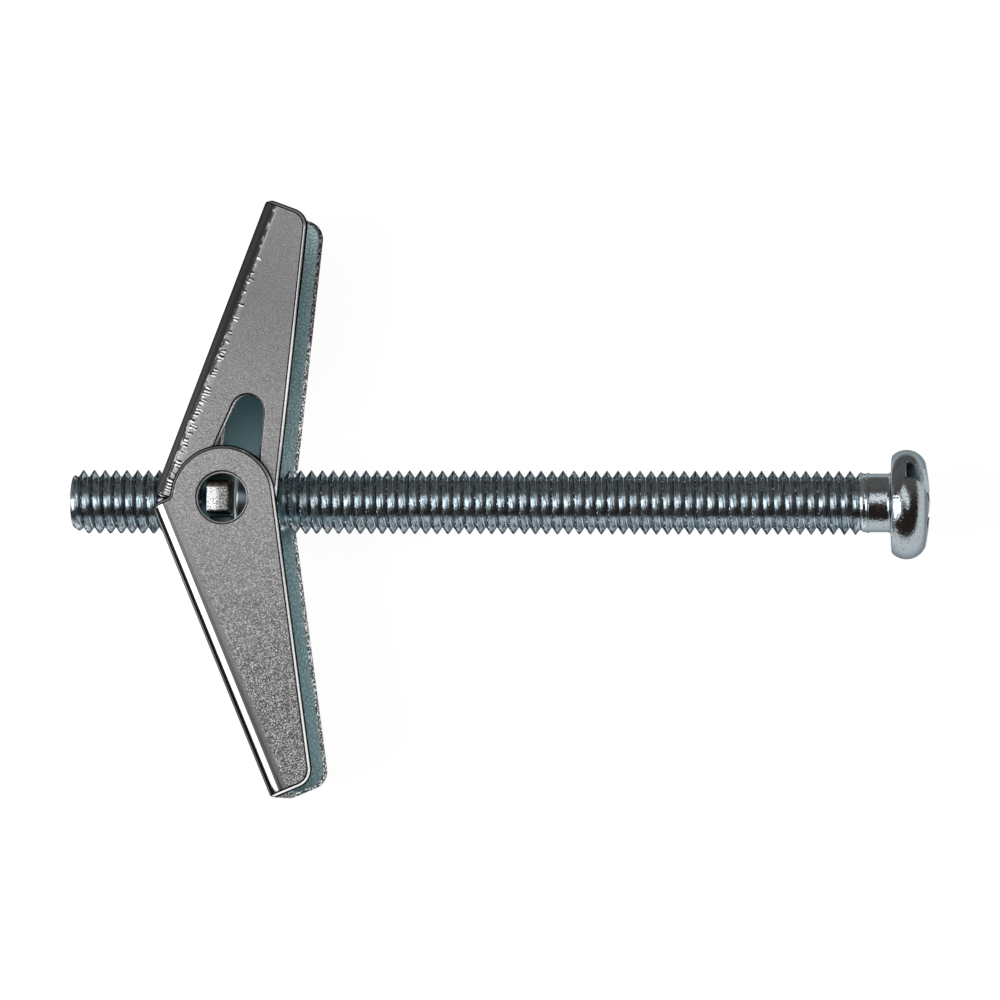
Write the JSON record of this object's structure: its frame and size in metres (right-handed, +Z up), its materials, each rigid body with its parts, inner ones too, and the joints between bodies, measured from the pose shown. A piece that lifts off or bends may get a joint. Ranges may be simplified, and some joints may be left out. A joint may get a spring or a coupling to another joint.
{
  "type": "spring toggle bolt",
  "caption": "Pan-head machine screw with a stamped trunnion nut that carries sprung folding channel wings, for hanging loads on hollow walls and ceilings.",
  "frame": {"origin": "where the screw's axis crosses the axis that both wings swing on", "axes": "+X along the screw to its head, +Y to the upper wing, +Z up from the side that it lies on"},
  "size_m": [0.078, 0.0544, 0.0132],
  "materials": {
    "screw_zinc": "bright zinc plate on a rolled and headed steel screw",
    "nut_zinc": "zinc plate on a stamped strip, with sheared lug ends",
    "spring_wire": "plated spring wire",
    "wing_zinc": "satin zinc plate on pressed sheet, with die marks along the bends"
  },
  "bodies": {
    "screw": {"machine_screw": "screw_zinc"},
    "nut": {"trunnion_nut": "nut_zinc", "torsion_spring": "spring_wire"},
    "upper_wing": {"upper_wing": "wing_zinc"},
    "lower_wing": {"lower_wing": "wing_zinc"}
  },
  "joints": [
    {"name": "nut_travel", "type": "slide", "parent": "screw", "child": "nut", "axis": [1, 0, 0], "range_m": [-0.012, 0.031]},
    {"name": "upper_wing_fold", "type": "hinge", "parent": "nut", "child": "upper_wing", "pos_m": [0, 0, 0], "axis": [0, 0, -1], "range_deg": [0, 69], "stiffness_Nm_per_rad": 0.02, "springref_deg": -28.65, "deforming": ["torsion_spring"]},
    {"name": "lower_wing_fold", "type": "hinge", "parent": "nut", "child": "lower_wing", "pos_m": [0, 0, 0], "axis": [0, 0, 1], "range_deg": [0, 67], "stiffness_Nm_per_rad": 0.02, "springref_deg": -28.65, "deforming": ["torsion_spring"]}
  ]
}
